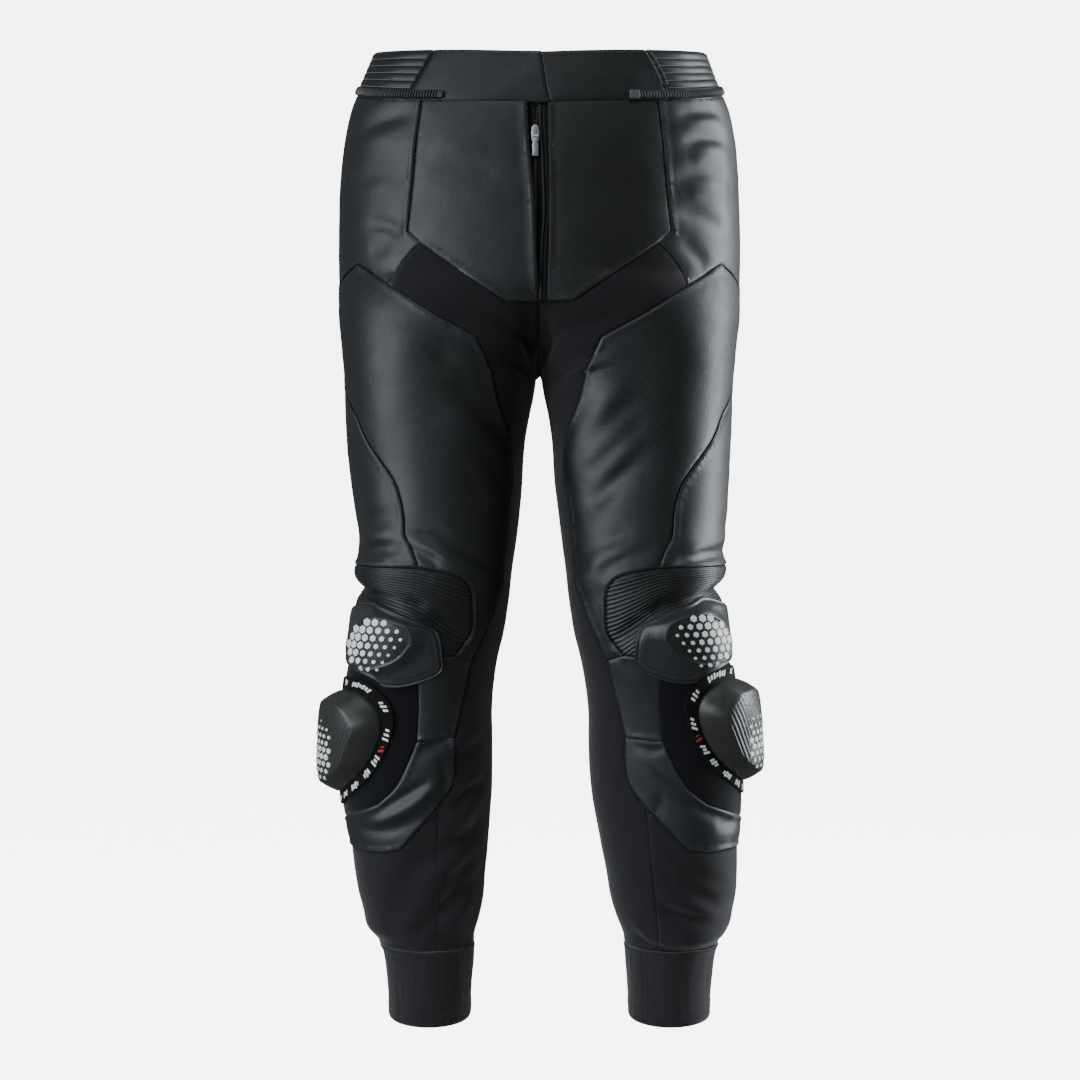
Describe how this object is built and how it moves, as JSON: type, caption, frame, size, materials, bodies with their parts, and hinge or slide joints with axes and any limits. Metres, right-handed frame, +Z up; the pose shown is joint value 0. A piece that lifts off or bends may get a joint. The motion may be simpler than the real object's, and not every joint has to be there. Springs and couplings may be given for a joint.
{
  "type": "motorcycle trousers",
  "caption": "Leather and stretch cloth riding trousers in their worn shape, hollow, with ribbed knees, moulded knee guards, knee sliders and a fly zip.",
  "frame": {"origin": "centre of the waist opening at the middle of the waistband's height, where the wearer holds it up", "axes": "+Z up, the front faces -Y, +X to the wearer's left"},
  "size_m": [0.4417, 0.2854, 0.9875],
  "materials": {
    "outer_side_right": "satin",
    "outer_side_left": "satin",
    "thigh_front_right": "satin",
    "thigh_front_left": "satin",
    "seat_and_thigh_back_right": "satin",
    "seat_and_thigh_back_left": "satin",
    "shin_upper_right": "satin",
    "shin_upper_left": "satin",
    "shin_lower_right": "satin",
    "shin_lower_left": "satin",
    "slider_patch_right": "matte, short pile",
    "slider_patch_left": "matte, short pile",
    "inner_stretch_right": "matte",
    "inner_stretch_left": "matte",
    "calf_front_right": "matte",
    "calf_front_left": "matte",
    "calf_back_right": "matte",
    "calf_back_left": "matte",
    "yoke_front_right": "satin",
    "yoke_front_left": "satin",
    "knee_stretch_right": "satin, ribbed",
    "knee_stretch_left": "satin, ribbed",
    "cuff_right": "matte",
    "cuff_left": "matte",
    "waistband_front_right": "satin",
    "waistband_front_left": "satin",
    "waistband_side_right": "satin, ribbed",
    "waistband_side_left": "satin, ribbed",
    "knee_guard_right": "satin",
    "knee_guard_left": "satin",
    "slider_base_right": "matte",
    "slider_base_left": "matte",
    "knee_slider_right": "satin",
    "knee_slider_left": "satin",
    "waistband_back": "satin",
    "jacket_zip": "matte",
    "jacket_zip_end_right": "matte",
    "jacket_zip_end_left": "matte",
    "fly_zip_tape": "matte",
    "fly_zip_slider": "satin",
    "fly_pull_tab": "satin"
  },
  "bodies": {
    "trousers": {"outer_side_right": "outer_side_right", "outer_side_left": "outer_side_left", "thigh_front_right": "thigh_front_right", "thigh_front_left": "thigh_front_left", "seat_and_thigh_back_right": "seat_and_thigh_back_right", "seat_and_thigh_back_left": "seat_and_thigh_back_left", "shin_upper_right": "shin_upper_right", "shin_upper_left": "shin_upper_left", "shin_lower_right": "shin_lower_right", "shin_lower_left": "shin_lower_left", "slider_patch_right": "slider_patch_right", "slider_patch_left": "slider_patch_left", "inner_stretch_right": "inner_stretch_right", "inner_stretch_left": "inner_stretch_left", "calf_front_right": "calf_front_right", "calf_front_left": "calf_front_left", "calf_back_right": "calf_back_right", "calf_back_left": "calf_back_left", "yoke_front_right": "yoke_front_right", "yoke_front_left": "yoke_front_left", "knee_stretch_right": "knee_stretch_right", "knee_stretch_left": "knee_stretch_left", "cuff_right": "cuff_right", "cuff_left": "cuff_left", "waistband_front_right": "waistband_front_right", "waistband_front_left": "waistband_front_left", "waistband_side_right": "waistband_side_right", "waistband_side_left": "waistband_side_left", "knee_guard_right": "knee_guard_right", "knee_guard_left": "knee_guard_left", "slider_base_right": "slider_base_right", "slider_base_left": "slider_base_left", "knee_slider_right": "knee_slider_right", "knee_slider_left": "knee_slider_left", "waistband_back": "waistband_back", "jacket_zip": "jacket_zip", "jacket_zip_end_right": "jacket_zip_end_right", "jacket_zip_end_left": "jacket_zip_end_left", "fly_zip_tape": "fly_zip_tape", "fly_zip_slider": "fly_zip_slider"},
    "pull_tab": {"fly_pull_tab": "fly_pull_tab"}
  },
  "joints": [
    {"name": "pull_tab_hinge", "type": "hinge", "parent": "trousers", "child": "pull_tab", "pos_m": [-0.0045, -0.12806, -0.07727], "axis": [-1, 0, 0], "range_deg": [0, 120]}
  ]
}
